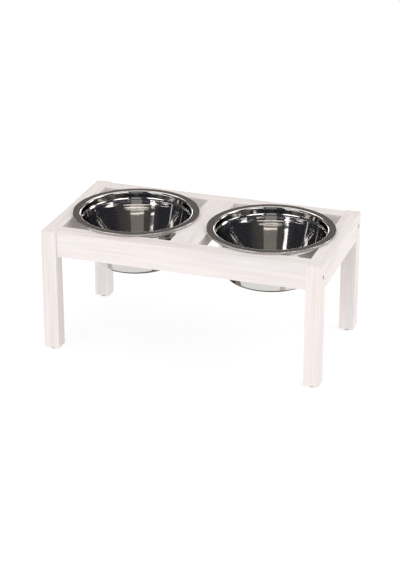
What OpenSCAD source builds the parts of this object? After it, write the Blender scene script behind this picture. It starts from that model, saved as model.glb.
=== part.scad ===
// Raised dog feeder: a low whitewashed wooden stand with two lift-out steel bowls.
// Millimetres, +X to the right along the stand, +Y to the back, +Z up.
// The origin is on the floor, under the middle of the stand.

/* [Bowls] */
// Outer diameter of the straight neck that drops into the frame
bowl_neck_d = 188; // [150:1:240]
// How far the rim reaches out past the neck, on each side
rim_reach = 14; // [9:0.5:20]
// Thickness of the rolled hem round the rim
hem_d = 4; // [3:0.1:6]
// Width of the flat that the hem rests on
hem_flat = 1.8; // [1:0.1:2.4]
// Outer radius of the bend between rim and neck
bend_r = 3.2; // [2:0.1:4]
// Depth of the neck below the top of the wood
neck_depth = 8; // [4:0.5:14]
// How far the wall steps in below the neck
shoulder_step = 1.4; // [0.4:0.1:3]
// Depth of the bowl below the top of the wood
bowl_depth = 82; // [60:1:120]
// Outer diameter of the bowl at its foot
bowl_base_d = 153; // [110:1:170]
// Outer radius of the corner between wall and base
base_corner_r = 8; // [4:0.5:14]
// Thickness of the steel sheet
steel_t = 0.8; // [0.5:0.1:1.2]

/* [Frame] */
// Length of the posts, from their lower ends to the top of the frame
post_length = 211; // [150:1:320]
// Width and depth of a post, and thickness of an end rail
post_size = 26; // [24:0.5:36]
// Height of the long rails and of the end rails
rail_height = 44; // [42:0.5:60]
// Thickness of a long rail
rail_thickness = 26; // [22:0.5:34]
// How far a long rail is set back from the outer face of the posts
rail_inset = 4; // [0:0.5:6]
// Width of the bar between the two bowls
crossbar_width = 48; // [44:1:80]
// Thickness of the bar between the two bowls
crossbar_thickness = 22; // [18:0.5:36]
// Chamfer on the long edges of every wooden bar
edge_ease = 0.8; // [0.4:0.1:2]
// Gap between a bowl's neck and the wood at its sides
side_gap = 1; // [0.4:0.1:3]
// Gap between a bowl's neck and the long rails
front_gap = 4; // [0.4:0.1:6]

/* [Corner bolts] */
// Diameter of a corner bolt
bolt_d = 4; // [3:0.5:5]
// Diameter of the bolt's round head
bolt_head_d = 7; // [6:0.5:8.5]
// Height of the bolt's round head
bolt_head_h = 4; // [3:0.5:5]
// Width across the flats of the hexagon socket
hex_socket = 3; // [2:0.5:4]
// Depth of the hexagon socket
hex_depth = 2.2; // [1:0.1:2.5]
// How deep the head lies below the face of the post
head_sink = 1; // [0.5:0.1:2]
// Radial gap round a bolt in the wood
bolt_gap = 0.3; // [0.1:0.05:0.5]
// Radial gap between a bolt and the thread of its nut
thread_gap = 0.05; // [0.03:0.01:0.1]
// Diameter of a barrel nut
nut_d = 8; // [7:0.5:10]
// Length of a barrel nut
nut_length = 12; // [10:0.5:14]
// Distance from the end of the rail to the middle of the nut
nut_setback = 25; // [20:1:40]
// Width and depth of the screwdriver slot in the nut
nut_slot = 1; // [0.6:0.1:1.6]

/* [Dowels] */
// Diameter of the dowels at the ends of the rails
dowel_d = 6; // [5:0.5:6]
// Diameter of the dowels in the crossbar
bar_dowel_d = 8; // [6:0.5:10]
// Radial gap round a dowel
dowel_gap = 0.05; // [0.03:0.01:0.1]
// Extra depth of a hole past each end of its dowel
dowel_end_gap = 0.5; // [0.2:0.1:0.9]
// Height between the two dowels in one end of a rail
dowel_spacing = 28; // [26:0.5:32]
// Depth of a long rail's dowel in the post
pin_in_post = 9; // [6:0.5:10]
// Depth of a long rail's dowel in the rail
pin_in_rail = 21; // [10:1:30]
// Distance of an end rail's dowels from the outer face of the post
end_dowel_in = 10; // [8:0.5:11]
// Depth of an end rail's dowel in the post
end_dowel_in_post = 12; // [8:0.5:14]
// Depth of an end rail's dowel in the rail
end_dowel_in_rail = 18; // [10:1:30]
// Distance between the two dowels in one end of the crossbar
bar_dowel_spacing = 26; // [20:1:28]
// Depth of a crossbar's dowel in the long rail
bar_dowel_in_rail = 14; // [8:1:18]
// Depth of a crossbar's dowel in the crossbar
bar_dowel_in_bar = 22; // [10:1:40]

/* [Glides] */
// Diameter of a glide
glide_d = 14; // [12:0.5:22]
// Height of a glide
glide_h = 4; // [3:0.5:8]
// Chamfer round the lower edge of a glide
glide_ease = 0.8; // [0.4:0.1:1.5]
// Diameter of the glide's nail
nail_d = 2; // [1.6:0.1:3]
// Diameter of the nail's head
nail_head_d = 5; // [4:0.5:7]
// Height of the nail's head
nail_head_h = 1; // [0.6:0.1:1.4]
// How far the nail's head is sunk above the floor
nail_sink = 0.6; // [0.4:0.1:1.2]
// Depth of the nail in the post
nail_in_post = 15; // [10:1:25]
// Radial gap round the nail and its head
nail_gap = 0.05; // [0.03:0.01:0.1]

/* [Hidden] */
$fn = 96;
// Overlap that lets a cut run clean through a face
cut = 0.1;
// Angle between two points of a rounded profile
arc_step = 15;

// Openings that the bowls drop into, and the overall size that follows
opening_x = bowl_neck_d + 2 * side_gap;
opening_y = bowl_neck_d + 2 * front_gap;
stand_x = 2 * (post_size + opening_x) + crossbar_width;
stand_y = opening_y + 2 * (rail_inset + rail_thickness);
half_x = stand_x / 2;
half_y = stand_y / 2;
wood_bottom = glide_h;
wood_top = glide_h + post_length;

// Bars
post_in_x = half_x - post_size;
post_in_y = half_y - post_size;
rail_out_y = half_y - rail_inset;
rail_in_y = rail_out_y - rail_thickness;
rail_z = wood_top - rail_height;
crossbar_z = wood_top - crossbar_thickness;

// Bowls
bowl_x = (crossbar_width + opening_x) / 2;
neck_r = bowl_neck_d / 2;
rim_r = neck_r + rim_reach;
hem_r = hem_d / 2;
hem_z = sqrt(pow(hem_r, 2) - pow(hem_flat / 2, 2));
hem_flat_angle = asin(hem_z / hem_r);
rim_top = hem_z + hem_r;
shoulder_r = neck_r - shoulder_step;
shoulder_z = -neck_depth - shoulder_step;
foot_r = bowl_base_d / 2;

// Corner bolts
bolt_y = half_y - post_size / 2;
bolt_z = wood_top - rail_height / 2;
head_seat_x = half_x - head_sink - bolt_head_h;
nut_x = post_in_x - nut_setback;
bolt_end_x = nut_x - nut_d / 2;
nut_y = bolt_y;

// Dowels
pin_y = (rail_out_y + rail_in_y) / 2;
pin_zs = [bolt_z - dowel_spacing / 2, bolt_z + dowel_spacing / 2];
end_dowel_x = half_x - end_dowel_in;
bar_dowel_z = wood_top - crossbar_thickness / 2;
dowel_ease = 0.6;

// Glides
foot_x = half_x - post_size / 2;
foot_y = half_y - post_size / 2;
nail_seat_z = nail_sink + nail_head_h;

wood_color = [0.93, 0.89, 0.87];
endgrain_color = [0.85, 0.79, 0.72];
steel_color = [0.73, 0.73, 0.74];
bolt_color = [0.30, 0.30, 0.31];
glide_color = [0.22, 0.21, 0.20];

// A square bar end with its four corners eased
module eased_section(a, b) {
    e = edge_ease;
    polygon([[e, 0], [a - e, 0], [a, e], [a, b - e], [a - e, b], [e, b], [0, b - e], [0, e]]);
}

// Wooden bars from their lowest corner, with the grain along X, Y or Z
module bar_x(size) {
    rotate([90, 0, 90]) linear_extrude(size.x) eased_section(size.y, size.z);
}
module bar_y(size) {
    translate([0, size.y, 0]) rotate([90, 0, 0]) linear_extrude(size.y) eased_section(size.x, size.z);
}
module bar_z(size) {
    linear_extrude(size.z) eased_section(size.x, size.y);
}

// Round rods and holes along each axis, from their first point towards plus
module rod_x(d, from, to, y, z) {
    translate([from, y, z]) rotate([0, 90, 0]) cylinder(d = d, h = to - from);
}
module rod_y(d, from, to, x, z) {
    translate([x, from, z]) rotate([-90, 0, 0]) cylinder(d = d, h = to - from);
}
module rod_z(d, from, to, x, y) {
    translate([x, y, from]) cylinder(d = d, h = to - from);
}

// A dowel with chamfered ends, standing on the origin
module dowel(d, length) {
    r = d / 2;
    e = dowel_ease;
    rotate_extrude()
        polygon([[0, 0], [r - e, 0], [r, e], [r, length - e], [r - e, length], [0, length]]);
}

// What is made for the back right corner, turned to the corner at side sx, sy
module at_corner(sx, sy) {
    scale_free_mirror(sx, [1, 0, 0]) scale_free_mirror(sy, [0, 1, 0]) children();
}
module scale_free_mirror(side, axis) {
    if (side < 0) mirror(axis) children();
    else children();
}
module at_all_corners() {
    for (sx = [-1, 1], sy = [-1, 1]) at_corner(sx, sy) children();
}

// Holes that a corner takes through post, long rail and end rail alike
module corner_holes() {
    // Bolt hole through the post into the long rail, and the recess for its head
    rod_x(bolt_d + 2 * bolt_gap, bolt_end_x - dowel_end_gap, half_x, bolt_y, bolt_z);
    rod_x(bolt_head_d + 2 * bolt_gap, head_seat_x, half_x + cut, bolt_y, bolt_z);
    // Blind hole for the barrel nut, from the inner face of the long rail
    rod_y(nut_d + 2 * bolt_gap, rail_in_y - cut, nut_y + nut_length / 2, nut_x, bolt_z);
    // Holes for the dowels between long rail and post
    for (z = pin_zs)
        rod_x(dowel_d + 2 * dowel_gap, post_in_x - pin_in_rail - dowel_end_gap,
              post_in_x + pin_in_post + dowel_end_gap, pin_y, z);
    // Holes for the dowels between end rail and post
    for (z = pin_zs)
        rod_y(dowel_d + 2 * dowel_gap, post_in_y - end_dowel_in_rail - dowel_end_gap,
              post_in_y + end_dowel_in_post + dowel_end_gap, end_dowel_x, z);
    // Pilot hole for the glide's nail
    rod_z(nail_d + 2 * nail_gap, wood_bottom - cut, wood_bottom + nail_in_post + dowel_end_gap,
          foot_x, foot_y);
}

// Holes for the dowels between the crossbar and the long rail at the back
module crossbar_holes() {
    for (sx = [-1, 1])
        rod_y(bar_dowel_d + 2 * dowel_gap, rail_in_y - bar_dowel_in_bar - dowel_end_gap,
              rail_in_y + bar_dowel_in_rail + dowel_end_gap, sx * bar_dowel_spacing / 2, bar_dowel_z);
}

module post(sx, sy) {
    color(wood_color) at_corner(sx, sy) difference() {
        translate([post_in_x, post_in_y, wood_bottom]) bar_z([post_size, post_size, post_length]);
        corner_holes();
    }
}

module end_rail(sx) {
    color(wood_color) at_corner(sx, 1) difference() {
        translate([post_in_x, -post_in_y, rail_z]) bar_y([post_size, 2 * post_in_y, rail_height]);
        for (sy = [-1, 1]) at_corner(1, sy) corner_holes();
    }
}

module long_rail(sy) {
    color(wood_color) at_corner(1, sy) difference() {
        translate([-post_in_x, rail_in_y, rail_z])
            bar_x([2 * post_in_x, rail_thickness, rail_height]);
        for (sx = [-1, 1]) at_corner(sx, 1) corner_holes();
        crossbar_holes();
    }
}

module center_crossbar() {
    color(wood_color) difference() {
        translate([-crossbar_width / 2, -rail_in_y, crossbar_z])
            bar_y([crossbar_width, 2 * rail_in_y, crossbar_thickness]);
        for (sy = [-1, 1]) at_corner(1, sy) crossbar_holes();
    }
}

// Points along an arc in the r-z plane
function arc(c, r, from, to) = [
    for (i = [0 : round(abs(to - from) / arc_step)])
        let (a = from + (to - from) * i / round(abs(to - from) / arc_step))
        [c[0] + r * cos(a), c[1] + r * sin(a)]
];

// One face of the bowl's sheet, from bend to middle, set in by t from the outside
function bowl_face(t) = concat(
    arc([neck_r + bend_r - steel_t, rim_top - bend_r], bend_r - steel_t + t, 90, 180),
    [[neck_r - t, -neck_depth], [shoulder_r - t, shoulder_z]],
    arc([foot_r - base_corner_r, base_corner_r - bowl_depth], base_corner_r - t, 0, -90),
    [[0, t - bowl_depth]]
);

// The rolled hem, from the top of the rim round to its underside, flat where it rests
function hem_face() = concat(
    arc([rim_r - hem_r, hem_z], hem_r, 90, -hem_flat_angle),
    arc([rim_r - hem_r, hem_z], hem_r, 180 + hem_flat_angle, 180 - asin(1 - steel_t / hem_r))
);

// A pressed bowl with its hem flat on the plane z = 0
module bowl_shape() {
    inner = bowl_face(steel_t);
    rotate_extrude()
        polygon(concat(hem_face(), bowl_face(0), [for (i = [len(inner) - 1 : -1 : 0]) inner[i]]));
}

module bowl(sx) {
    color(steel_color) translate([sx * bowl_x, 0, wood_top]) bowl_shape();
}

// Socket-head bolts, from their recess in the post to the far side of the nut
module corner_bolts() {
    color(bolt_color) at_all_corners() difference() {
        union() {
            rod_x(bolt_d, bolt_end_x, head_seat_x + cut, bolt_y, bolt_z);
            rod_x(bolt_head_d, head_seat_x, head_seat_x + bolt_head_h, bolt_y, bolt_z);
        }
        translate([head_seat_x + bolt_head_h - hex_depth, bolt_y, bolt_z])
            rotate([0, 90, 0]) cylinder(d = hex_socket / cos(30), h = hex_depth + cut, $fn = 6);
    }
}

module barrel_nuts() {
    color(steel_color) at_all_corners() difference() {
        rod_y(nut_d, nut_y - nut_length / 2, nut_y + nut_length / 2, nut_x, bolt_z);
        rod_x(bolt_d + 2 * thread_gap, nut_x - nut_d, nut_x + nut_d, bolt_y, bolt_z);
        translate([nut_x - nut_d, nut_y - nut_length / 2 - cut, bolt_z - nut_slot / 2])
            cube([2 * nut_d, nut_slot + cut, nut_slot]);
    }
}

module long_rail_dowels() {
    color(endgrain_color) at_all_corners() for (z = pin_zs)
        translate([post_in_x - pin_in_rail, pin_y, z])
            rotate([0, 90, 0]) dowel(dowel_d, pin_in_rail + pin_in_post);
}

module end_rail_dowels() {
    color(endgrain_color) at_all_corners() for (z = pin_zs)
        translate([end_dowel_x, post_in_y - end_dowel_in_rail, z])
            rotate([-90, 0, 0]) dowel(dowel_d, end_dowel_in_rail + end_dowel_in_post);
}

module crossbar_dowels() {
    color(endgrain_color) for (sy = [-1, 1], sx = [-1, 1]) at_corner(sx, sy)
        translate([bar_dowel_spacing / 2, rail_in_y - bar_dowel_in_bar, bar_dowel_z])
            rotate([-90, 0, 0]) dowel(bar_dowel_d, bar_dowel_in_bar + bar_dowel_in_rail);
}

// A round glide with a stepped hole for its nail
module glide(sx, sy) {
    r = glide_d / 2;
    color(glide_color) at_corner(sx, sy) translate([foot_x, foot_y, 0]) difference() {
        rotate_extrude()
            polygon([[0, 0], [r - glide_ease, 0], [r, glide_ease], [r, glide_h], [0, glide_h]]);
        rod_z(nail_d + 2 * nail_gap, -cut, glide_h + cut, 0, 0);
        rod_z(nail_head_d + 2 * nail_gap, -cut, nail_seat_z, 0, 0);
    }
}

module glide_nails() {
    color(steel_color) at_all_corners() {
        rod_z(nail_d, nail_seat_z - cut, wood_bottom + nail_in_post, foot_x, foot_y);
        rod_z(nail_head_d, nail_sink, nail_seat_z, foot_x, foot_y);
    }
}

post(-1, -1);  // post_front_left
post(1, -1);  // post_front_right
post(-1, 1);  // post_back_left
post(1, 1);  // post_back_right
end_rail(-1);  // end_rail_left
end_rail(1);  // end_rail_right
long_rail(-1);  // front_rail
long_rail(1);  // back_rail
center_crossbar();
bowl(-1);  // bowl_left
bowl(1);  // bowl_right
corner_bolts();
barrel_nuts();
long_rail_dowels();
end_rail_dowels();
crossbar_dowels();
glide(-1, -1);  // glide_front_left
glide(1, -1);  // glide_front_right
glide(-1, 1);  // glide_back_left
glide(1, 1);  // glide_back_right
glide_nails();
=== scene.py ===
# %% [markdown]
# # A raised dog feeder in whitewashed wood and polished steel
#
# The feeder is a low wooden stand with two steel bowls dropped into it. All its pieces
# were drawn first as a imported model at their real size, and this lesson dresses that
# model: it rounds the bars as a sander would, presses the bowls out of thin sheet, and
# gives every piece its finish.
#
# Everything is in metres, with +X to the right, +Y to the back and +Z up, and the
# floor is at zero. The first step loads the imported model. Its boxes give the place
# and size of every new piece, so nothing is fitted by eye.

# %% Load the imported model
import math

import bmesh
import bpy
from mathutils import Matrix, Vector


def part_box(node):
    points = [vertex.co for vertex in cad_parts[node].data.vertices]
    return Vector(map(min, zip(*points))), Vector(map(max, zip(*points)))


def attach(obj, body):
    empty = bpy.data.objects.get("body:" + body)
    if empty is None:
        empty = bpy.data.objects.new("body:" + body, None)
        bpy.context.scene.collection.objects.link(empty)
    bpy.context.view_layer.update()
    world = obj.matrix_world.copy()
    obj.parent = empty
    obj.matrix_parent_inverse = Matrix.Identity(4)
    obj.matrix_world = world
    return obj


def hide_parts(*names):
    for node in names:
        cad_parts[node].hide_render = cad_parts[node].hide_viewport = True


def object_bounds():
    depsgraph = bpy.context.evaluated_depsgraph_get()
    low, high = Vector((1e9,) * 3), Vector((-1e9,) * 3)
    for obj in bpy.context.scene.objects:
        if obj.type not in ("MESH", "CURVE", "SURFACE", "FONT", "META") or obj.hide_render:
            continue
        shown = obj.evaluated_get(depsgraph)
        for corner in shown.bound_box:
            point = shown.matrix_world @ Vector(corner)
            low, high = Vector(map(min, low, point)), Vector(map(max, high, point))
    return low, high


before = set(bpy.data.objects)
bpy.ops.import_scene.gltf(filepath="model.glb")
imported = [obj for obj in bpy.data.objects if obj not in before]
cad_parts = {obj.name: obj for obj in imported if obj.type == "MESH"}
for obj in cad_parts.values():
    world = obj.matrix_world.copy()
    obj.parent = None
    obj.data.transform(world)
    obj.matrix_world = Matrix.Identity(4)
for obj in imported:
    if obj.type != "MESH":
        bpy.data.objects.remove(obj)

MM = 0.001
packed_low, packed_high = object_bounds()
packed_size = packed_high - packed_low
print("packed model, mm:", [round(side / MM, 1) for side in packed_size])

# %% [markdown]
# ## The camera
#
# The photograph looks down at the stand from its front right, from about three
# metres away through a long lens. A camera can be placed by hand until the picture
# looks right, or worked out from the corners that the photograph shows. This one was
# worked out, from the corners of the wood and the rims of the bowls. It is written as
# a place, a turn to the left, a dip below level and a focal length in pixels, and the
# lens follows from that: the sensor's 36 mm lie along the picture's longer side.

# %% Camera
PICTURE_HEIGHT = 570
SENSOR = 36.0
FOCAL_PIXELS = 1762.2
CAMERA_PLACE = Vector((0.8729, -2.6000, 1.3033))
CAMERA_TURN = math.radians(18.662)
CAMERA_DIP = math.radians(23.718)

camera_data = bpy.data.cameras.new("camera")
camera_data.sensor_width = SENSOR
camera_data.lens = FOCAL_PIXELS * SENSOR / PICTURE_HEIGHT
camera_data.clip_start = 0.1
camera_data.clip_end = 60.0
camera = bpy.data.objects.new("camera", camera_data)
camera.location = CAMERA_PLACE
camera.rotation_euler = (math.pi / 2 - CAMERA_DIP, 0.0, CAMERA_TURN)
bpy.context.scene.collection.objects.link(camera)
bpy.context.scene.camera = camera
print("lens, mm:", round(camera_data.lens, 1))

# %% [markdown]
# ## Small tools for node trees
#
# Each finish below is a small tree of nodes. Made one call at a time, a tree takes
# pages, so a few helpers keep it short: they start a finish, add a node, do sums, mix
# two colours, and turn one range of numbers softly into another. A value that a helper
# gets may be a plain number or another node's output. What is the same all over a
# surface is set straight on the shader, and only what changes from place to place comes
# out of nodes.

# %% Finishes and nodes
def new_finish(name):
    """A material with its node tree and its main shader."""
    material = bpy.data.materials.new(name)
    material.use_nodes = True
    tree = material.node_tree
    return material, tree, tree.nodes["Principled BSDF"]


def feed(tree, socket, value):
    """Gives an input a number, a colour or another node's output."""
    if isinstance(value, bpy.types.NodeSocket):
        tree.links.new(value, socket)
    else:
        socket.default_value = value


def add_node(tree, kind, settings=None, **inputs):
    """Adds a node. Inputs are named as in Blender, with _ for a space."""
    node = tree.nodes.new(kind)
    for setting, value in (settings or {}).items():
        setattr(node, setting, value)
    for name, value in inputs.items():
        feed(tree, node.inputs[name.replace("_", " ")], value)
    return node


print("helpers:", new_finish.__name__, feed.__name__, add_node.__name__)

# %% [markdown]
# ## Sums, mixes and soft steps
#
# A pattern is arithmetic: noise is scaled, added and compared, and the result picks
# between two colours. Blender has a node for each step, and wiring them one by one
# hides the formula. So each helper here takes its values in one line and gives back the
# node's output, ready for the next line.

# %% Sums and mixes
def sums(tree, operation, *values):
    """One Math node. The operations are Blender's own, such as ADD or POWER."""
    node = tree.nodes.new("ShaderNodeMath")
    node.operation = operation
    for socket, value in zip(node.inputs, values):
        feed(tree, socket, value)
    return node.outputs[0]


def blend(tree, share, first, second):
    """Mixes two colours: all first at a share of 0, all second at a share of 1."""
    node = tree.nodes.new("ShaderNodeMix")
    node.data_type = "RGBA"
    for socket, value in ((0, share), (6, first), (7, second)):
        feed(tree, node.inputs[socket], value)
    return node.outputs[2]


def ease(tree, value, start, end, low=0.0, high=1.0):
    """Turns a value from start to end into one from low to high, softly."""
    node = add_node(tree, "ShaderNodeMapRange", {"interpolation_type": "SMOOTHSTEP"})
    numbers = (value, start, end, low, high)
    for socket, number in zip(node.inputs[:5], numbers):
        feed(tree, socket, number)
    return node.outputs[0]


print("helpers:", sums.__name__, blend.__name__, ease.__name__)

# %% [markdown]
# ## Colours as a screen shows them
#
# Colours are easiest to compare with a picture as a screen counts them, from 0 to 255.
# Blender works in amounts of light instead. A Gamma node in each tree could make the
# change, but it comes close at best. So one helper turns the screen's numbers into
# light by the screen's own curve, and the trees below keep numbers that can be read.

# %% Colours
def colour(red, green, blue):
    """A colour as a screen shows it, 0 to 255, turned into the light it stands for."""
    def light(level):
        share = level / 255
        return share / 12.92 if share <= 0.04045 else ((share + 0.055) / 1.055) ** 2.4
    return (light(red), light(green), light(blue), 1.0)


print("a mid grey of 128 stands for", round(colour(128, 128, 128)[0], 3), "of the light")

# %% [markdown]
# ## White background
#
# The photograph is a cut-out on pure white. A white picture can be had by turning the
# lamps up until the floor burns out, but then the pale wood burns out too. Here the
# world is plain white for the camera and for mirror reflections, and a little dimmer
# where it lights the wood. A Light Path node tells the two kinds of ray apart.

# %% World
SKY_LIGHT = 0.80


def seen_directly(tree):
    """1 for rays from the camera, a mirror or a clear body, 0 for any other ray."""
    path = tree.nodes.new("ShaderNodeLightPath")
    mirrored = sums(tree, "MAXIMUM", path.outputs["Is Glossy Ray"],
                    path.outputs["Is Transmission Ray"])
    return sums(tree, "MAXIMUM", path.outputs["Is Camera Ray"], mirrored)


world = bpy.data.worlds.new("white surroundings")
bpy.context.scene.world = world
world.use_nodes = True
sky = world.node_tree.nodes["Background"]
sky.inputs["Color"].default_value = (1.0, 1.0, 1.0, 1.0)
sky_strength = ease(world.node_tree, seen_directly(world.node_tree), 0, 1, SKY_LIGHT, 1.0)
feed(world.node_tree, sky.inputs["Strength"], sky_strength)
print("world: white to look at,", SKY_LIGHT, "of white as light")

# %% [markdown]
# ## The floor
#
# A white sheet that only the lamps light would go grey wherever their light falls off.
# So the floor is like a lit table: it gives off part of its light itself, a little more
# to look at than as light for the undersides, and takes the rest from the lamps and the
# world. Under the stand that second part is kept away, and the floor darkens softly
# there, as a real one does.

# %% Floor
FLOOR_SHADE = 0.40
FLOOR_GLOW = 0.58
FLOOR_SHINE = 0.70
FLOOR_REACH = 30.0

floor_finish, tree, shader = new_finish("pale floor")
shader.inputs["Base Color"].default_value = (FLOOR_SHADE, FLOOR_SHADE, FLOOR_SHADE, 1.0)
shader.inputs["Roughness"].default_value = 1.0
shader.inputs["Specular IOR Level"].default_value = 0.0
feed(tree, shader.inputs["Emission Strength"],
     ease(tree, seen_directly(tree), 0, 1, FLOOR_GLOW, FLOOR_SHINE))
shader.inputs["Emission Color"].default_value = (1.0, 1.0, 1.0, 1.0)

floor_shape = bmesh.new()
bmesh.ops.create_grid(floor_shape, x_segments=1, y_segments=1, size=FLOOR_REACH / 2)
floor_mesh = bpy.data.meshes.new("floor")
floor_shape.to_mesh(floor_mesh)
floor_shape.free()
floor_mesh.materials.append(floor_finish)
floor = bpy.data.objects.new("floor", floor_mesh)
bpy.context.scene.collection.objects.link(floor)
print("floor:", FLOOR_REACH, "m square, white with a soft shadow")

# %% [markdown]
# ## What the steel mirrors
#
# Polished steel has hardly a look of its own: it shows the room. In the photograph the
# rims are grey, the walls go from near black to white, and a few hard white patches
# stand side by side. That is a dark room with a white backdrop, soft boxes overhead and
# upright panels at the sides, so the same room is built here. A tent round the whole
# scene gives the dark surroundings. Only mirror reflections see it. The wood and the
# camera see nothing of it, and the plain lamps further down light the scene.

# %% Pieces that only mirrors see
def around(turn):
    """A level direction, turned by degrees to the right of the line to the camera."""
    swing = math.radians(turn) + CAMERA_TURN
    return Vector((math.sin(swing), -math.cos(swing), 0.0))


def only_mirrored(thing, shape, finish):
    """Makes a stage piece that shows in reflections and nowhere else."""
    mesh = bpy.data.meshes.new(thing)
    shape.to_mesh(mesh)
    shape.free()
    mesh.materials.append(finish)
    piece = bpy.data.objects.new(thing, mesh)
    bpy.context.scene.collection.objects.link(piece)
    piece.visible_camera = False
    piece.visible_diffuse = False
    piece.visible_transmission = False
    piece.visible_volume_scatter = False
    piece.visible_shadow = False


def glow(name):
    """A finish that only gives off light, its tree, and its emission node."""
    material = bpy.data.materials.new(name)
    material.use_nodes = True
    tree = material.node_tree
    tree.nodes.clear()
    lamp = tree.nodes.new("ShaderNodeEmission")
    out = tree.nodes.new("ShaderNodeOutputMaterial")
    tree.links.new(lamp.outputs[0], out.inputs["Surface"])
    material.cycles.emission_sampling = "NONE"
    return material, tree, lamp


print("behind the stand is", [round(part, 2) for part in around(180)])

# %% [markdown]
# ## The tent
#
# In the rims and walls the dark parts are a little warmer and lighter where they mirror
# what is behind the stand, and cooler and darker where they mirror the camera's side.
# The world's colour could do this, but it has to stay white for the camera. A large
# sphere with a soft change from one dim light to the other does it for reflections
# alone.

# %% Tent
TENT_RADIUS = 8.0
TENT_FRONT = (0.042, 0.045, 0.054, 1.0)
TENT_BACK = (0.110, 0.106, 0.102, 1.0)
TENT_FRONT_ENDS = -0.3 * TENT_RADIUS
TENT_BACK_STARTS = 0.6 * TENT_RADIUS

tent_finish, tree, lamp = glow("dim tent")
tent_place = add_node(tree, "ShaderNodeTexCoord").outputs["Object"]
to_back = add_node(tree, "ShaderNodeVectorMath", {"operation": "DOT_PRODUCT"})
feed(tree, to_back.inputs[0], tent_place)
feed(tree, to_back.inputs[1], around(180))
back_share = ease(tree, to_back.outputs["Value"], TENT_FRONT_ENDS, TENT_BACK_STARTS)
feed(tree, lamp.inputs["Color"], blend(tree, back_share, TENT_FRONT, TENT_BACK))

tent_shape = bmesh.new()
bmesh.ops.create_uvsphere(tent_shape, u_segments=64, v_segments=32, radius=TENT_RADIUS)
only_mirrored("tent", tent_shape, tent_finish)
print("tent of", TENT_RADIUS, "m for the reflections")

# %% [markdown]
# ## Cards
#
# The panels are cards all round the stand and above it. Flat cards would do for narrow
# ones, but a wide flat card looks lower at its ends. So each card is part of a globe:
# an upright arc is turned about the stand with spin. Where each one lies follows from
# what the bowls show. A flat rim mirrors what stands behind at the height from which
# the camera looks down. The wall of a bowl leans by some 14 degrees, so by the mirror
# law it shows what stands low in front, and deeper down, after a second reflection,
# what stands about 30 degrees high behind.

# %% Where the cards lie
WHITE = (3.2, 3.2, 3.2)
CREAM = (2.4, 2.25, 2.0)
# Turn from the camera's side, width, lowest and highest angle seen from the stand,
# all in degrees, and the light that the card gives off
CARDS = {
    "front_gap": (0, 24, 0, 14, (0.28, 0.27, 0.26)),
    "low_left": (-55, 50, 1, 9, WHITE),
    "upright_right": (111, 14, 0, 30, WHITE),
    "thin_upright": (17, 4, 16, 25, (1.4, 1.4, 1.4)),
    "side_right": (97, 24, 35, 50, WHITE),
    "backdrop": (180, 110, 3, 8, CREAM),
    "left_of_back": (164, 18, 8, 16, WHITE),
    "right_of_back": (-165, 20, 8, 18, WHITE),
    "behind_rims": (180, 60, 15, 26, (0.160, 0.146, 0.143)),
    "behind_walls": (180, 62, 26, 34.5, (0.34, 0.32, 0.30)),
    "behind_high": (180, 60, 34.5, 45, CREAM),
    "high_left": (-55, 44, 47, 62, WHITE),
    "high_right": (42, 40, 44, 62, WHITE),
    "front_high": (0, 26, 34, 66, (0.40, 0.39, 0.38)),
    "overhead_back": (180, 110, 45, 57, (2.0, 2.0, 2.0)),
    "overhead_top": (180, 110, 57, 72, (0.9, 0.9, 0.9)),
    "overhead_front": (0, 179, 76, 89, (0.25, 0.25, 0.25)),
}
print("cards:", len(CARDS))

# %% [markdown]
# ## The shape of a card
#
# A card is made from a column of points on the globe, joined by edges. Spin turns that
# arc about the stand and leaves a strip of faces behind. All cards are five metres
# away, so that a bowl at the left and one at the right mirror nearly the same thing, as
# they do in the photograph.

# %% Card shapes
CARD_DISTANCE = 5.0
CARD_STEPS = 16
STAND_HEIGHT = 0.2


def card_shape(turn, width, low, high):
    """Part of a globe round the stand: an upright arc that is turned about the stand."""
    start = around(turn - width / 2)
    shape = bmesh.new()
    arc = []
    for step in range(CARD_STEPS + 1):
        angle = math.radians(low + (high - low) * step / CARD_STEPS)
        place = start * math.cos(angle) * CARD_DISTANCE
        place.z = STAND_HEIGHT + CARD_DISTANCE * math.sin(angle)
        arc.append(shape.verts.new(place))
    for lower, upper in zip(arc, arc[1:]):
        shape.edges.new((lower, upper))
    bmesh.ops.spin(shape, geom=shape.verts[:] + shape.edges[:], cent=(0, 0, 0),
                   axis=(0, 0, 1), angle=math.radians(width), steps=CARD_STEPS, use_merge=False)
    return shape


for name, (turn, width, low, high, light) in CARDS.items():
    card_finish, _, lamp = glow("card " + name)
    lamp.inputs["Color"].default_value = (*light, 1.0)
    only_mirrored("card_" + name, card_shape(turn, width, low, high), card_finish)
    print("card", name, "is", width, "degrees wide and", high - low, "high")

# %% [markdown]
# ## Painted shade under the stand
#
# The outside of a bowl mirrors the table under it, and a table is darker there, because
# the stand keeps the light away. The floor of this scene is white for mirrors, so the
# shade has to be added. It could be painted into the floor, but then the camera would
# see it too. Instead the shade is painted on pieces of dim light that only mirrors see:
# a thin plate just above the floor for the shadow of the stand, and a small dark disc
# under each bowl for the deeper shadow there. Like the cards, they show in reflections
# only.

# %% Painted shade under the stand
SHADE_SIDES = (0.44, 0.22)
SHADE_LIGHT = (0.28, 0.25, 0.22, 1.0)
SHADE_HEIGHT = 1 * MM
SHADE_DISC_RADIUS = 0.06
SHADE_DISC_LIGHT = (0.05, 0.05, 0.05, 1.0)
SHADE_DISC_HEIGHT = 2 * MM

shade_finish, _, lamp = glow("shade under the stand")
lamp.inputs["Color"].default_value = SHADE_LIGHT
shade = bmesh.new()
bmesh.ops.create_grid(shade, x_segments=1, y_segments=1, size=0.5)
bmesh.ops.scale(shade, vec=(*SHADE_SIDES, 1.0), verts=shade.verts)
bmesh.ops.translate(shade, vec=(0.0, 0.0, SHADE_HEIGHT), verts=shade.verts)
only_mirrored("shade_under_stand", shade, shade_finish)

# The dark discs are painted shade: they stand for the floor's shadow under each bowl, as the steel
# mirrors it.
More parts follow.
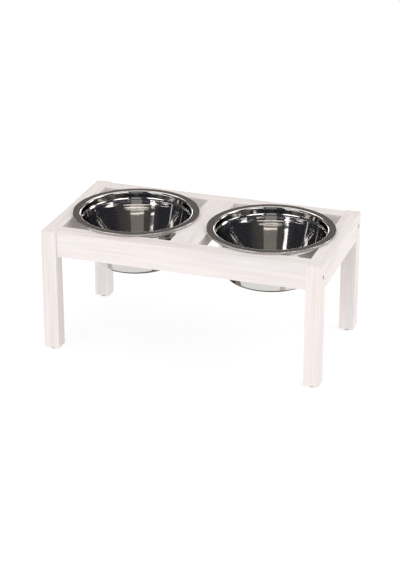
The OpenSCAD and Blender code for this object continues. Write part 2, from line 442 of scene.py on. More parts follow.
shade_disc_finish, _, lamp = glow("painted shade disc")
lamp.inputs["Color"].default_value = SHADE_DISC_LIGHT
shade_discs = bmesh.new()
for side in ("left", "right"):
    low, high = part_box("bowl_" + side)
    spot = Matrix.Translation(((low.x + high.x) / 2, 0.0, SHADE_DISC_HEIGHT))
    bmesh.ops.create_circle(shade_discs, cap_ends=True, segments=32, radius=SHADE_DISC_RADIUS, matrix=spot)
only_mirrored("shade_discs_under_bowls", shade_discs, shade_disc_finish)
print("shade:", SHADE_SIDES, "m, flags:", 2 * SHADE_DISC_RADIUS, "m across")

# %% [markdown]
# ## Lamps
#
# The wood in the photograph is lit evenly, with its right hand faces a touch brighter
# than its front. One lamp far to the right and one high in front to the left do that on
# top of the even light of the surroundings, and a low one in front shines under the
# rails onto the posts at the back. Small strong lamps would draw hard shadows, so all
# three are large. The steel doesn't mirror them, because the cards do that. Each lamp's
# power is worked out from the light it should bring: a flat lamp of P watts at distance
# d brings P / (pi d)^2 of the white level.

# %% Lamps
# Direction from the stand, distance, share of the white level that it brings, size
LAMPS = {
    "lamp_right": (Vector((0.80, 0.08, 0.53)), 3.4, 0.18, 2.2),
    "lamp_front": (Vector((-0.30, -0.80, 0.52)), 3.2, 0.08, 1.8),
    "lamp_low": (Vector((-0.25, -0.96, 0.10)), 3.2, 0.15, 1.4),
}
for name, (direction, distance, level, size) in LAMPS.items():
    lamp_data = bpy.data.lights.new(name, "AREA")
    lamp_data.shape = "SQUARE"
    lamp_data.size = size
    lamp_data.energy = level * (math.pi * distance) ** 2
    lamp_object = bpy.data.objects.new(name, lamp_data)
    lamp_object.location = direction.normalized() * distance
    lamp_object.rotation_euler = direction.to_track_quat("Z", "Y").to_euler()
    lamp_object.visible_glossy = False
    lamp_object.visible_camera = False
    bpy.context.scene.collection.objects.link(lamp_object)
    print(name, round(lamp_data.energy, 1), "W")

# %% [markdown]
# ## The grain of the wood
#
# The bars are a pale softwood under a thin white wash. Close up it shows three things:
# the yearly rings, which make fine lines along a bar, flame shapes where the saw met
# them at a slant and arcs on its ends; short fibres; and broad soft clouds of cream,
# pink and grey where the wash lies thicker or thinner. A flat picture of wood would
# show streaks on the ends too. Here the rings are worked out in the solid, as shells
# round a pith line beside the bar, so each face is cut out of one and the same tree.
# Every bar gets its own pith, so that no two look alike.

# %% Grain and rings
RING_SPACING = 2.2 * MM
RING_DRIFT = 5 * MM
RING_FRAY = 0.7


def grain_noise(tree, axes, seed, stretch, size, detail=2.0, channel=0):
    """Noise that is stretched along the grain, with patches of about that size.

    Each pattern adds its own number to the bar's seed, so that no two move together.
    """
    along, across, up = axes
    squeezed = sums(tree, "DIVIDE", along, stretch)
    point = add_node(tree, "ShaderNodeCombineXYZ", X=squeezed, Y=across, Z=up)
    node = add_node(tree, "ShaderNodeTexNoise", {"noise_dimensions": "4D"},
                    Vector=point.outputs[0], W=seed, Scale=1 / size, Detail=detail)
    return node.outputs[channel]


def from_pith(tree, axis, drift, pith):
    """Distance from the pith along one axis, with a slow drift to either side."""
    shift = sums(tree, "MULTIPLY_ADD", drift, RING_DRIFT, -RING_DRIFT / 2 - pith)
    return sums(tree, "ADD", axis, shift)


def late_wood(tree, axes, seed, pith):
    """How much of a year's dark late wood shows at a point, from 0 to 1."""
    slow = grain_noise(tree, axes, seed, stretch=9.0, size=45 * MM, detail=1.0, channel=1)
    drift = add_node(tree, "ShaderNodeSeparateColor", Color=slow).outputs
    over = from_pith(tree, axes[1], drift[0], pith[0])
    high = from_pith(tree, axes[2], drift[1], pith[1])
    reach = sums(tree, "SQRT", sums(tree, "ADD", sums(tree, "MULTIPLY", over, over),
                                    sums(tree, "MULTIPLY", high, high)))
    rings = sums(tree, "DIVIDE", reach, RING_SPACING)
    fray = grain_noise(tree, axes, seed + 5.0, stretch=60.0, size=6 * MM, detail=1.0)
    year = sums(tree, "FRACT", sums(tree, "MULTIPLY_ADD", fray, RING_FRAY, rings))
    late = sums(tree, "MULTIPLY", ease(tree, year, 0.15, 0.85), ease(tree, year, 1.0, 0.88))
    patches = grain_noise(tree, axes, seed + 3.0, stretch=9.0, size=12 * MM, detail=1.0)
    return sums(tree, "MULTIPLY", late, ease(tree, patches, 0.35, 0.65, 0.15, 1.0))


print("rings every", RING_SPACING / MM, "mm")

# %% [markdown]
# ## The white wash
#
# On the real bars the wash is a thin watery paint, rubbed in and wiped off, so the wood
# shows through it. One pale colour would look like plastic. So the finish starts with
# the colour of the wash and lays the clouds, the streaks, the dark part of each ring
# and the fibres over it, one thin mix after another. The rings and fibres also stand up
# a little, as they do on sanded softwood, and a weak bump brings that out.

# %% Wood finish
WASH = colour(244, 237, 235)
RING_LINE = colour(222, 207, 202)
CREAM_CLOUD = colour(246, 237, 231)
PINK_CLOUD = colour(236, 225, 223)
GREY_CLOUD = colour(233, 229, 229)
RING_STRENGTH = 0.42
PINK_STRENGTH = 0.75
FIBRE_STRENGTH = 0.2
GRAIN_RELIEF = 0.15 * MM


def whitewashed_wood(name, grain, pith, seed):
    """White wash over softwood. Grain is the bar's long axis, pith its tree's middle."""
    material, tree, shader = new_finish(name)
    place = add_node(tree, "ShaderNodeTexCoord").outputs["Object"]
    parts = add_node(tree, "ShaderNodeSeparateXYZ", Vector=place).outputs
    order = {"x": (0, 1, 2), "y": (1, 2, 0), "z": (2, 0, 1)}[grain]
    axes = [parts[i] for i in order]
    late = late_wood(tree, axes, seed, pith)
    fibre = grain_noise(tree, axes, seed + 7.0, stretch=40.0, size=0.7 * MM, detail=3.0)
    cloud = grain_noise(tree, axes, seed + 11.0, stretch=9.0, size=20 * MM)
    streak = grain_noise(tree, axes, seed + 13.0, stretch=30.0, size=4.5 * MM)

    tint = blend(tree, ease(tree, cloud, 0.48, 0.70), WASH, CREAM_CLOUD)
    tint = blend(tree, ease(tree, cloud, 0.50, 0.30), tint, GREY_CLOUD)
    tint = blend(tree, ease(tree, streak, 0.46, 0.66, 0.0, PINK_STRENGTH), tint, PINK_CLOUD)
    tint = blend(tree, sums(tree, "MULTIPLY", late, RING_STRENGTH), tint, RING_LINE)
    tint = blend(tree, ease(tree, fibre, 0.5, 0.8, 0.0, FIBRE_STRENGTH), tint, RING_LINE)
    feed(tree, shader.inputs["Base Color"], tint)
    feed(tree, shader.inputs["Roughness"], ease(tree, fibre, 0.2, 0.8, 0.5, 0.66))
    shader.inputs["Specular IOR Level"].default_value = 0.35

    relief = sums(tree, "MULTIPLY_ADD", late, 0.6, sums(tree, "MULTIPLY", fibre, 0.5))
    bump = add_node(tree, "ShaderNodeBump", Strength=0.5, Distance=GRAIN_RELIEF, Height=relief)
    feed(tree, shader.inputs["Normal"], bump.outputs[0])
    return material


print("wash, as light:", [round(part, 2) for part in WASH[:3]])

# %% [markdown]
# ## The wooden bars
#
# Nine bars make the stand: four posts, two end rails, two long rails and the bar
# between the bowls. Each one is a planed stick with its long edges taken off by
# sandpaper. A cube with a Bevel modifier would do, but the posts and rails also have
# round holes, and a modifier would round those with the rest. So each bar starts as a
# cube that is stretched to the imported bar's box, and bevel rounds its long edges fully
# and its ends a little, before any hole is made.

# %% Bars as bevelled cubes
LONG_EDGE = 0.8 * MM
END_EDGE = 0.35 * MM
AXES = {"x": 0, "y": 1, "z": 2}


def bar_shape(low, high, grain):
    """A planed stick between two corners, with its edges rounded."""
    bar = bmesh.new()
    bmesh.ops.create_cube(bar, size=1.0)
    bmesh.ops.scale(bar, vec=high - low, verts=bar.verts)
    bmesh.ops.translate(bar, vec=(low + high) / 2, verts=bar.verts)
    axis = AXES[grain]
    long_edges = [e for e in bar.edges if abs(e.verts[0].co[axis] - e.verts[1].co[axis]) > MM]
    bmesh.ops.bevel(bar, geom=long_edges, offset=LONG_EDGE, offset_type="OFFSET",
                    affect="EDGES", segments=4, profile=0.5, material=-1)
    end_edges = [e for e in bar.edges if abs(e.verts[0].co[axis] - e.verts[1].co[axis]) < MM / 10]
    bmesh.ops.bevel(bar, geom=end_edges, offset=END_EDGE, offset_type="OFFSET",
                    affect="EDGES", segments=2, profile=0.5, material=-1)
    return bar


def add_piece(name, shape, finish, nodes, body="stand"):
    """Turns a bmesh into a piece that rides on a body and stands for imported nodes."""
    mesh = bpy.data.meshes.new(name)
    shape.to_mesh(mesh)
    shape.free()
    mesh.polygons.foreach_set("use_smooth", [True] * len(mesh.polygons))
    mesh.materials.append(finish)
    piece = bpy.data.objects.new(name, mesh)
    bpy.context.scene.collection.objects.link(piece)
    even = piece.modifiers.new("even shading", "WEIGHTED_NORMAL")
    even.keep_sharp = True
    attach(piece, body)
    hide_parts(*nodes)
    return piece


print("edges rounded by", LONG_EDGE / MM, "mm along a bar and", END_EDGE / MM, "mm at its ends")

# %% [markdown]
# ## Holes in the bars
#
# Each post has a round recess in its outer side for a bolt's head, and each long rail
# has a blind hole in its inner side for the barrel nut that the bolt runs into. A
# Boolean would cut them and leave long thin faces round every hole. Here a small
# square, 1.7 times as wide as the hole, is cut out of the face and bridged to a circle,
# and the circle is pushed into the wood in two steps, the first of which breaks the
# sharp edge of the hole.

# %% Drill
HOLE_SIDES = 48
HOLE_BREAK = 0.25 * MM
SQUARE_SHARE = 1.7


def drill(bar, mouth, inward, radius, depth):
    """Sinks a round blind hole into a flat face. Mouth is the hole's middle on it."""
    inward = Vector(inward)
    sides = [Vector(axis) for axis in ((1, 0, 0), (0, 1, 0), (0, 0, 1)) if not inward.dot(axis)]
    for side in sides:
        for way in (-1, 1):
            everything = bar.verts[:] + bar.edges[:] + bar.faces[:]
            bmesh.ops.bisect_plane(bar, geom=everything, dist=MM / 1000,
                                   plane_co=mouth + way * SQUARE_SHARE * radius * side,
                                   plane_no=side)
    square = min(bar.faces, key=lambda f: (f.calc_center_median() - mouth).length)
    outline = list(square.edges)
    bmesh.ops.delete(bar, geom=[square], context="FACES_ONLY")
    bmesh.ops.subdivide_edges(bar, edges=outline, cuts=HOLE_SIDES // 4 - 1)
    outline = list({e for e in bar.edges if e.is_boundary})
    turned = inward.to_track_quat("Z", "Y").to_matrix().to_4x4()
    circle = bmesh.ops.create_circle(bar, cap_ends=False, segments=HOLE_SIDES,
                                     radius=radius + HOLE_BREAK,
                                     matrix=Matrix.Translation(mouth) @ turned)["verts"]
    ring = list({e for v in circle for e in v.link_edges})
    bmesh.ops.bridge_loops(bar, edges=outline + ring)
    for step in (HOLE_BREAK, depth - HOLE_BREAK):
        pushed = bmesh.ops.extrude_edge_only(bar, edges=ring)["geom"]
        circle = [v for v in pushed if isinstance(v, bmesh.types.BMVert)]
        ring = [e for e in pushed if isinstance(e, bmesh.types.BMEdge) and e.is_boundary]
        bmesh.ops.translate(bar, vec=inward * step, verts=circle)
        middle = sum((v.co for v in circle), Vector()) / len(circle)
        share = radius / (circle[0].co - middle).length
        shrink = Matrix.Translation(middle) @ Matrix.Scale(share, 4) @ Matrix.Translation(-middle)
        bmesh.ops.transform(bar, matrix=shrink, verts=circle)
    bmesh.ops.contextual_create(bar, geom=ring)
    bmesh.ops.recalc_face_normals(bar, faces=bar.faces)


print("holes:", HOLE_SIDES, "sides, edge broken by", HOLE_BREAK / MM, "mm")

# %% [markdown]
# ## Where the holes go
#
# All holes are at half the height of the rails, where the bolts run. In a post the hole
# is in the middle of its outer side. In a long rail there is one near each end, where
# the bolt's tip meets its nut. The places could be typed in, but they follow from the
# packed boxes, so a longer stand would keep its holes in the right spots.

# %% Holes of a bar
BOLT_HEAD_HOLE = 3.8 * MM
BOLT_HEAD_DEPTH = 5.0 * MM
NUT_HOLE = 4.3 * MM
NUT_HOLE_DEPTH = 23.0 * MM
NUT_SETBACK = 25.0 * MM
packed_wood_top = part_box("front_rail")[1].z
rail_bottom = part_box("front_rail")[0].z


def holes_of(name, low, high):
    """Mouth, direction, radius and depth of each hole that shows in a bar."""
    level = (packed_wood_top + rail_bottom) / 2
    if name.startswith("post"):
        side = 1 if high.x > 0 else -1
        mouth = Vector((high.x if side > 0 else low.x, (low.y + high.y) / 2, level))
        return [(mouth, (-side, 0, 0), BOLT_HEAD_HOLE, BOLT_HEAD_DEPTH)]
    if name in ("front_rail", "back_rail"):
        side = 1 if high.y > 0 else -1
        inner = low.y if side > 0 else high.y
        ends = (low.x + NUT_SETBACK, high.x - NUT_SETBACK)
        mouths = [Vector((x, inner, level)) for x in ends]
        return [(mouth, (0, side, 0), NUT_HOLE, NUT_HOLE_DEPTH) for mouth in mouths]
    return []


print("rails reach from", round(rail_bottom / MM, 1), "to", round(packed_wood_top / MM, 1), "mm")

# %% [markdown]
# ## The stand, bar by bar
#
# One table says for every bar which way its grain runs and where its pith lies, seen
# along the grain, from the bar's middle. A pith far away gives fine straight lines, as
# on the bar between the bowls, and a near one gives wide flames, as on the front rail.

# %% Stand
# Grain, then the pith's distance from the bar's middle across and up, in mm
BARS = {
    "post_front_left": ("z", (30, -46)),
    "post_front_right": ("z", (-38, 40)),
    "post_back_left": ("z", (44, 28)),
    "post_back_right": ("z", (-26, -52)),
    "end_rail_left": ("y", (48, 12)),
    "end_rail_right": ("y", (-56, -20)),
    "front_rail": ("x", (10, -44)),
    "back_rail": ("x", (-16, 52)),
    "center_crossbar": ("y", (6, 90)),
}

for number, (name, (grain, pith)) in enumerate(BARS.items()):
    low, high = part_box(name)
    bar = bar_shape(low, high, grain)
    for mouth, inward, radius, depth in holes_of(name, low, high):
        drill(bar, mouth, inward, radius, depth)
    middle = (low + high) / 2
    order = {"x": (1, 2), "y": (2, 0), "z": (0, 1)}[grain]
    tree_middle = [middle[axis] + shift * MM for axis, shift in zip(order, pith)]
    finish = whitewashed_wood("wood " + name, grain, tree_middle, number * 1.7)
    add_piece(name + "_wood", bar, finish, [name])
print("bars:", len(BARS))

# %% [markdown]
# ## Polished steel
#
# The bowls are pressed from thin stainless sheet and polished on a lathe. The metal
# itself is a plain mirror in a nearly neutral grey. What makes it believable is what is
# wrong with the mirror: below the shoulder the sheet waves a little from the press and
# has one faint ring all round, and the polishing left hair lines that run round the
# bowl. All are well under a quarter of a millimetre, too slight to model, so they are
# bumps. The waves and hair lines come from noise, and the ring from the height. For the
# hair lines the noise needs to know how far round and how far out a point is, so the
# finish works out both from the bowl's own middle.

# %% Steel finish
STEEL = (0.655, 0.64, 0.63, 1.0)
SMEAR_LEAST = 0.03
SMEAR_MOST = 0.08
WAVE_HEIGHT = 0.16 * MM
WAVES_PER_METRE = 32.0
WAVES_START = -3 * MM
WAVES_FULL = -12 * MM
RIDGE_HEIGHT = 0.08 * MM
RIDGE_WIDTH = 4.5 * MM
RIDGE_LEVEL = -19.0 * MM
HAIRS_PER_METRE = 2500.0
HAIR_HEIGHT = 0.01 * MM


def polished_steel(name, middle):
    """Pressed and lathe-polished sheet, for a bowl that stands over that point."""
    material, tree, shader = new_finish(name)
    shader.inputs["Base Color"].default_value = STEEL
    shader.inputs["Metallic"].default_value = 1.0
    place = add_node(tree, "ShaderNodeTexCoord").outputs["Object"]
    centred = add_node(tree, "ShaderNodeMapping", Vector=place,
                       Location=(-middle, 0.0, -packed_wood_top)).outputs[0]
    x, y, z = add_node(tree, "ShaderNodeSeparateXYZ", Vector=centred).outputs
    out = sums(tree, "SQRT", sums(tree, "ADD", sums(tree, "MULTIPLY", x, x),
                                  sums(tree, "MULTIPLY", y, y)))
    far = sums(tree, "MAXIMUM", out, MM)
    lane = sums(tree, "MULTIPLY", sums(tree, "ADD", out, z), HAIRS_PER_METRE)
    turned = add_node(tree, "ShaderNodeCombineXYZ", X=sums(tree, "DIVIDE", x, far),
                      Y=sums(tree, "DIVIDE", y, far), Z=lane).outputs[0]
    hair = add_node(tree, "ShaderNodeTexNoise", Vector=turned, Scale=1.0, Detail=3.0).outputs[0]
    wave = add_node(tree, "ShaderNodeTexNoise", Vector=centred, Scale=WAVES_PER_METRE,
                    Detail=1.0).outputs[0]
    feed(tree, shader.inputs["Roughness"], ease(tree, hair, 0.3, 0.75, SMEAR_LEAST, SMEAR_MOST))

    ridge = sums(tree, "MULTIPLY", ease(tree, z, RIDGE_LEVEL - RIDGE_WIDTH, RIDGE_LEVEL),
                 ease(tree, z, RIDGE_LEVEL + RIDGE_WIDTH, RIDGE_LEVEL))
    swell = sums(tree, "MULTIPLY", sums(tree, "SUBTRACT", wave, 0.5),
                 ease(tree, z, WAVES_START, WAVES_FULL))
    uneven = sums(tree, "MULTIPLY_ADD", ridge, RIDGE_HEIGHT / WAVE_HEIGHT, swell)
    waves = add_node(tree, "ShaderNodeBump", Strength=1.0, Distance=WAVE_HEIGHT, Height=uneven)
    hairs = add_node(tree, "ShaderNodeBump", Strength=0.15, Distance=HAIR_HEIGHT,
                     Height=hair, Normal=waves.outputs[0])
    feed(tree, shader.inputs["Normal"], hairs.outputs[0])
    return material


print("steel: waves of", WAVE_HEIGHT / MM, "mm and a ring of", RIDGE_HEIGHT / MM, "mm")

# %% [markdown]
# ## The bowls
#
# A bowl is round, so it is one outline turned about its middle. The outline is the
# side of the sheet that holds the food. It runs from the middle of the floor up the
# slanting wall, steps out at a small shoulder to the straight neck, bends over into
# the flat rim, and rolls down and under into the hem that rests on the wood. It is
# drawn with straight lines between a few corners, each with the length that its
# rounding takes. The wall leans so that it just touches the rounding of the foot.

# %% Outline of a bowl
SHEET = 0.8 * MM
NECK = 94.0 * MM
NECK_DEPTH = 7.4 * MM
SHOULDER_STEP = 1.8 * MM
BASE_CORNER = 8.0 * MM
FOOT = 76.5 * MM
HEM = 4.0 * MM
HEM_TUCK = 2.2 * MM
SHOULDER_ROUND = 1.9 * MM
NECK_ROUND = 0.5 * MM
BEND_ROUND = 3.7 * MM
RIM_ROUND = 0.9 * MM
HEM_ROUND = 1.88 * MM


def bowl_outline(rim, top, floor):
    """Corners of the outline as radius, height and how far the rounding starts before."""
    corner_radius = BASE_CORNER - SHEET
    centre = (FOOT - BASE_CORNER, floor + corner_radius)
    shoulder = (NECK - SHOULDER_STEP - SHEET, -NECK_DEPTH - SHOULDER_STEP)
    out, up = shoulder[0] - centre[0], shoulder[1] - centre[1]
    lean = math.atan2(out, up) - math.asin(corner_radius / math.hypot(out, up))
    base = shoulder[0] - (shoulder[1] - floor) * math.tan(lean)
    base_round = corner_radius * math.tan((math.pi / 2 - lean) / 2)
    return [
        (0.0, floor, 0.0),
        (base, floor, base_round),
        (*shoulder, SHOULDER_ROUND),
        (NECK - SHEET, -NECK_DEPTH, NECK_ROUND),
        (NECK - SHEET, top, BEND_ROUND),
        (rim, top, RIM_ROUND),
        (rim, 0.0, HEM_ROUND),
        (rim - HEM, 0.0, HEM_ROUND),
        (rim - HEM, HEM_TUCK, 0.0),
    ]


print("neck, mm:", 2 * NECK / MM, "foot, mm:", 2 * FOOT / MM)

# %% [markdown]
# ## From the outline to a shell
#
# Bevel rounds each corner of the outline as the press did, and spin turns it once about
# the bowl's middle. The seam and the point in the middle of the floor then have points
# on top of each other, so doubles are removed, and the faces are turned towards the
# food. Circles could be bridged one above the other instead, but then each rounding
# would need many of them, and here it is one number.

# %% Shell of a bowl
TURNS = 192


def bowl_shape(middle, wood_top, outline):
    """The food side of a bowl as a shell that is round about its middle."""
    bowl = bmesh.new()
    corners = [bowl.verts.new((middle + out, 0.0, wood_top + up)) for out, up, _ in outline]
    for start, end in zip(corners, corners[1:]):
        bowl.edges.new((start, end))
    for corner, (_, _, rounding) in zip(corners, outline):
        if rounding:
            bmesh.ops.bevel(bowl, geom=[corner], offset=rounding, offset_type="OFFSET",
                            affect="VERTICES", segments=8, profile=0.5, material=-1)
    bmesh.ops.spin(bowl, geom=bowl.verts[:] + bowl.edges[:], cent=(middle, 0.0, 0.0),
                   axis=(0, 0, 1), angle=2 * math.pi, steps=TURNS, use_merge=True)
    bmesh.ops.remove_doubles(bowl, verts=bowl.verts, dist=MM / 100)
    bmesh.ops.recalc_face_normals(bowl, faces=bowl.faces)
    lowest = min(bowl.faces, key=lambda f: f.calc_center_median().z)
    if lowest.normal.z < 0:
        bmesh.ops.reverse_faces(bowl, faces=bowl.faces)
    return bowl


print("a bowl is turned in", TURNS, "steps")

# %% [markdown]
# ## Both bowls
#
# Each bowl rides on its own body, because it can be lifted out of the stand. The shell
# has no thickness yet. A second shell could be joined to it at the edge, but a Solidify
# modifier does that evenly and adds the sheet on the side away from the food. It is
# moved up, to work before the modifier that evens the shading.

# %% Both bowls
for side in ("left", "right"):
    low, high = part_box("bowl_" + side)
    middle = (low.x + high.x) / 2
    rim = (high.x - low.x) / 2
    outline = bowl_outline(rim, high.z - packed_wood_top, low.z - packed_wood_top + SHEET)
    shape = bowl_shape(middle, packed_wood_top, outline)
    steel = polished_steel("steel " + side, middle)
    bowl = add_piece("bowl_" + side + "_steel", shape, steel,
                     ["bowl_" + side], side + "_bowl")
    sheet = bowl.modifiers.new("sheet", "SOLIDIFY")
    sheet.thickness = SHEET
    sheet.offset = -1.0
    sheet.use_even_offset = True
    bowl.modifiers.move(1, 0)
    print("bowl", side, "rim, mm:", round(2 * rim / MM, 1), "faces:", len(bowl.data.polygons))

# %% [markdown]
# ## Black oxide
#
# The long rails are held to the posts by dark socket-head bolts. Such bolts are steel
# with a thin black oxide, which isn't paint: it keeps some of the metal's sheen and is
# a little blotchy. A flat black would look like a hole. So the finish is a dark half
# metal, and one fine noise moves both its colour and its gloss.

# %% Bolt finish
def dark_steel():
    """Black oxide on steel: dark, half glossy, a little blotchy."""
    material, tree, shader = new_finish("black oxide")
    place = add_node(tree, "ShaderNodeTexCoord").outputs["Object"]
    blot = add_node(tree, "ShaderNodeTexNoise", Vector=place, Scale=900.0, Detail=3.0).outputs[0]
    tint = blend(tree, blot, (0.012, 0.012, 0.014, 1.0), (0.045, 0.042, 0.040, 1.0))
    feed(tree, shader.inputs["Base Color"], tint)
    feed(tree, shader.inputs["Roughness"], ease(tree, blot, 0.3, 0.7, 0.32, 0.5))
    shader.inputs["Metallic"].default_value = 0.6
    return material


black_oxide = dark_steel()
print("finish:", black_oxide.name)

# %% [markdown]
# ## The shape of a bolt
#
# The heads sit a millimetre deep in the posts' outer sides. From a step away they are
# dots, and close up they need a rounded edge and a six-sided socket. The head starts as
# a disc whose face is bridged to a hexagon. The hexagon is pushed in to make the
# socket, the outer ring is pushed down for the head's side and the shank, and bevel
# rounds the edge of the head.

# %% Bolt shape
HEAD_RADIUS = 3.5 * MM
HEAD_HEIGHT = 4.0 * MM
HEAD_SINK = 1.0 * MM
HEAD_ROUND = 0.35 * MM
SOCKET = 3.0 * MM
SOCKET_DEPTH = 2.2 * MM
SHANK_RADIUS = 2.0 * MM
BOLT_SIDES = 48


def bolt_shape(bolt, mouth, side, shank_end):
    """Adds one bolt that faces the given side. Mouth is the middle of its head's face."""
    before = set(bolt.verts)
    outer = bmesh.ops.create_circle(bolt, cap_ends=False, segments=BOLT_SIDES,
                                    radius=HEAD_RADIUS)["verts"]
    inner = bmesh.ops.create_circle(bolt, cap_ends=False, segments=6,
                                    radius=SOCKET / 2 / math.cos(math.pi / 6))["verts"]
    face_edges = {e for v in outer + inner for e in v.link_edges}
    hexagon = list({e for v in inner for e in v.link_edges})
    edge = list({e for v in outer for e in v.link_edges})
    bmesh.ops.bridge_loops(bolt, edges=list(face_edges))
    sunk = bmesh.ops.extrude_edge_only(bolt, edges=hexagon)["geom"]
    sunk_verts = [v for v in sunk if isinstance(v, bmesh.types.BMVert)]
    bmesh.ops.translate(bolt, vec=(0, 0, -SOCKET_DEPTH), verts=sunk_verts)
    bmesh.ops.contextual_create(bolt, geom=sunk_verts)
    steps = ((HEAD_HEIGHT, HEAD_RADIUS), (0.0, SHANK_RADIUS), (shank_end, SHANK_RADIUS))
    ring = edge
    for drop, radius in steps:
        pushed = bmesh.ops.extrude_edge_only(bolt, edges=ring)["geom"]
        verts = [v for v in pushed if isinstance(v, bmesh.types.BMVert)]
        ring = [e for e in pushed if isinstance(e, bmesh.types.BMEdge)]
        bmesh.ops.translate(bolt, vec=(0, 0, -drop), verts=verts)
        share = radius / math.hypot(verts[0].co.x, verts[0].co.y)
        bmesh.ops.scale(bolt, vec=(share, share, 1.0), verts=verts)
    bmesh.ops.contextual_create(bolt, geom=ring)
    bmesh.ops.bevel(bolt, geom=edge, offset=HEAD_ROUND, offset_type="OFFSET",
                    affect="EDGES", segments=3, profile=0.5, material=-1)
    made = [v for v in bolt.verts if v not in before]
    turned = Vector((side, 0, 0)).to_track_quat("Z", "Y").to_matrix()
    bmesh.ops.rotate(bolt, cent=(0, 0, 0), matrix=turned, verts=made)
    bmesh.ops.translate(bolt, vec=mouth, verts=made)


print("bolt head, mm:", 2 * HEAD_RADIUS / MM, "across and", HEAD_HEIGHT / MM, "high")

# %% [markdown]
# ## Four bolts
#
# A bolt goes through each post into the end of a long rail. Each one could be a piece of
# its own, but all four share a body and a finish, so they are made in one mesh. Their
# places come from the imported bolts' box. Each shank is as long as the way from the head
# through the post to the far side of the nut's hole, less a millimetre, so that its tip
# stays inside.

# %% Four bolts
bolts = bmesh.new()
bolt_low, bolt_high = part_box("corner_bolts")
bolt_level = (bolt_low.z + bolt_high.z) / 2
bolt_depth = bolt_high.y - HEAD_RADIUS
post_low, post_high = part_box("post_front_left")
post_side = post_high.x - post_low.x
shank_length = NUT_SETBACK + NUT_HOLE + post_side - HEAD_SINK - HEAD_HEIGHT
for side in (-1, 1):
    for way in (-1, 1):
        mouth = Vector((side * bolt_high.x, way * bolt_depth, bolt_level))
        bolt_shape(bolts, mouth, side, shank_length - MM)
bmesh.ops.recalc_face_normals(bolts, faces=bolts.faces)
add_piece("corner_bolts_steel", bolts, black_oxide, ["corner_bolts"])
print("bolts: 4, shank, mm:", round(shank_length / MM, 1))

# %% [markdown]
# ## Dark plastic
#
# The glides under the posts are moulded in a nearly black plastic. Plain black with
# full gloss would show white edges from the bright floor. So the gloss is kept low, and
# a very fine grain in colour, gloss and height gives the satin look of a cheap
# moulding.

# %% Glide finish
def dark_plastic():
    """Moulded plastic, nearly black, with a fine satin grain."""
    material, tree, shader = new_finish("dark plastic")
    place = add_node(tree, "ShaderNodeTexCoord").outputs["Object"]
    grain = add_node(tree, "ShaderNodeTexNoise", Vector=place, Scale=2500.0, Detail=2.0).outputs[0]
    tint = blend(tree, grain, (0.020, 0.019, 0.018, 1.0), (0.040, 0.038, 0.036, 1.0))
    feed(tree, shader.inputs["Base Color"], tint)
    feed(tree, shader.inputs["Roughness"], ease(tree, grain, 0.3, 0.7, 0.4, 0.55))
    shader.inputs["Specular IOR Level"].default_value = 0.25
    bump = add_node(tree, "ShaderNodeBump", Strength=0.3, Distance=0.03 * MM, Height=grain)
    feed(tree, shader.inputs["Normal"], bump.outputs[0])
    return material


plastic = dark_plastic()
print("finish:", plastic.name)

# %% [markdown]
# ## Glides
#
# A small glide sits under each post, with a nail through its middle. It could be a
# plain disc, but from below the nail's stepped hole shows. So it is a turned shape too:
# the outline goes round the hole and over a rounded lower edge, and spin turns it. The
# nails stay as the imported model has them.

# %% Glides
GLIDE_ROUND = 0.6 * MM
GLIDE_SIDES = 48
NAIL_HOLE = 1.05 * MM
NAIL_HEAD_HOLE = 2.55 * MM
NAIL_HEAD_DEPTH = 1.6 * MM


def glide_shape(low, high):
    """A glide turned about the middle of its box."""
    glide = bmesh.new()
    middle = (low + high) / 2
    radius = (high.x - low.x) / 2
    outline = [(NAIL_HOLE, high.z), (NAIL_HOLE, NAIL_HEAD_DEPTH),
               (NAIL_HEAD_HOLE, NAIL_HEAD_DEPTH), (NAIL_HEAD_HOLE, 0.0), (radius, 0.0),
               (radius, high.z), (NAIL_HOLE, high.z)]
    corners = [glide.verts.new((middle.x + out, middle.y, up)) for out, up in outline]
    for start, end in zip(corners, corners[1:]):
        glide.edges.new((start, end))
    bmesh.ops.bevel(glide, geom=[corners[4]], offset=GLIDE_ROUND, offset_type="OFFSET",
                    affect="VERTICES", segments=5, profile=0.5, material=-1)
    bmesh.ops.spin(glide, geom=glide.verts[:] + glide.edges[:], cent=(middle.x, middle.y, 0.0),
                   axis=(0, 0, 1), angle=2 * math.pi, steps=GLIDE_SIDES, use_merge=True)
    bmesh.ops.remove_doubles(glide, verts=glide.verts, dist=MM / 100)
    bmesh.ops.recalc_face_normals(glide, faces=glide.faces)
    return glide


for end in ("front", "back"):
    for side in ("left", "right"):
        node = "glide_" + end + "_" + side
        add_piece(node + "_plastic", glide_shape(*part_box(node)), plastic, [node])
print("glides: 4")

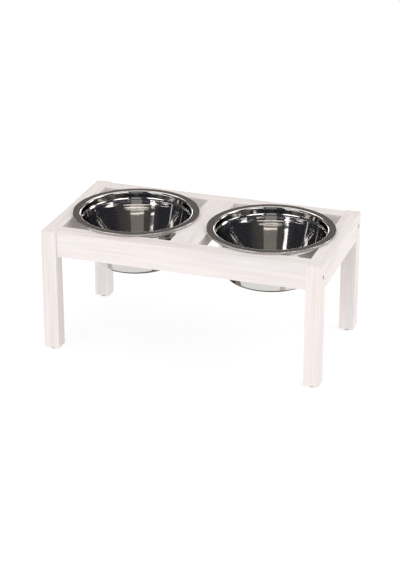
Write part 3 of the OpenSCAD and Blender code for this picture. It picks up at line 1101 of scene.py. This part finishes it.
# %% [markdown]
# ## Nuts, nails and dowels
#
# What is left lies in its holes and hardly shows: the barrel nuts, the glides' nails
# and the dowels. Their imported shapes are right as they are, so they only get a finish.
# Zinc plate is a dull mirror with faint cloudy spangles, and the dowels are bare beech
# with short dark flecks along their length.

# %% Hidden hardware
def zinc_plate():
    """Zinc-plated steel: a dull, slightly cloudy mirror."""
    material, tree, shader = new_finish("zinc plate")
    place = add_node(tree, "ShaderNodeTexCoord").outputs["Object"]
    cloud = add_node(tree, "ShaderNodeTexNoise", Vector=place, Scale=700.0, Detail=3.0).outputs[0]
    tint = blend(tree, cloud, (0.50, 0.51, 0.53, 1.0), (0.64, 0.64, 0.63, 1.0))
    feed(tree, shader.inputs["Base Color"], tint)
    feed(tree, shader.inputs["Roughness"], ease(tree, cloud, 0.3, 0.7, 0.25, 0.42))
    shader.inputs["Metallic"].default_value = 1.0
    return material


def bare_beech():
    """Beech without a wash, with flecks along X or Y alike."""
    material, tree, shader = new_finish("bare beech")
    place = add_node(tree, "ShaderNodeTexCoord").outputs["Object"]
    fleck = add_node(tree, "ShaderNodeTexNoise", Vector=place, Scale=600.0, Detail=3.0).outputs[0]
    tint = blend(tree, ease(tree, fleck, 0.45, 0.7), colour(214, 178, 138), colour(184, 142, 104))
    feed(tree, shader.inputs["Base Color"], tint)
    feed(tree, shader.inputs["Roughness"], ease(tree, fleck, 0.3, 0.7, 0.55, 0.7))
    return material


def refinish(nodes, finish):
    """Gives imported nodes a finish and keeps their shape."""
    for node in nodes:
        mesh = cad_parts[node].data
        mesh.materials.clear()
        mesh.materials.append(finish)


refinish(["barrel_nuts", "glide_nails"], zinc_plate())
refinish(["long_rail_dowels", "end_rail_dowels", "crossbar_dowels"], bare_beech())
print("kept from the packed model: nuts, nails, dowels")

# %% [markdown]
# ## The colours
#
# The colours are shown as they are, with no film look.

# %% Colours
bpy.context.scene.view_settings.view_transform = "Standard"
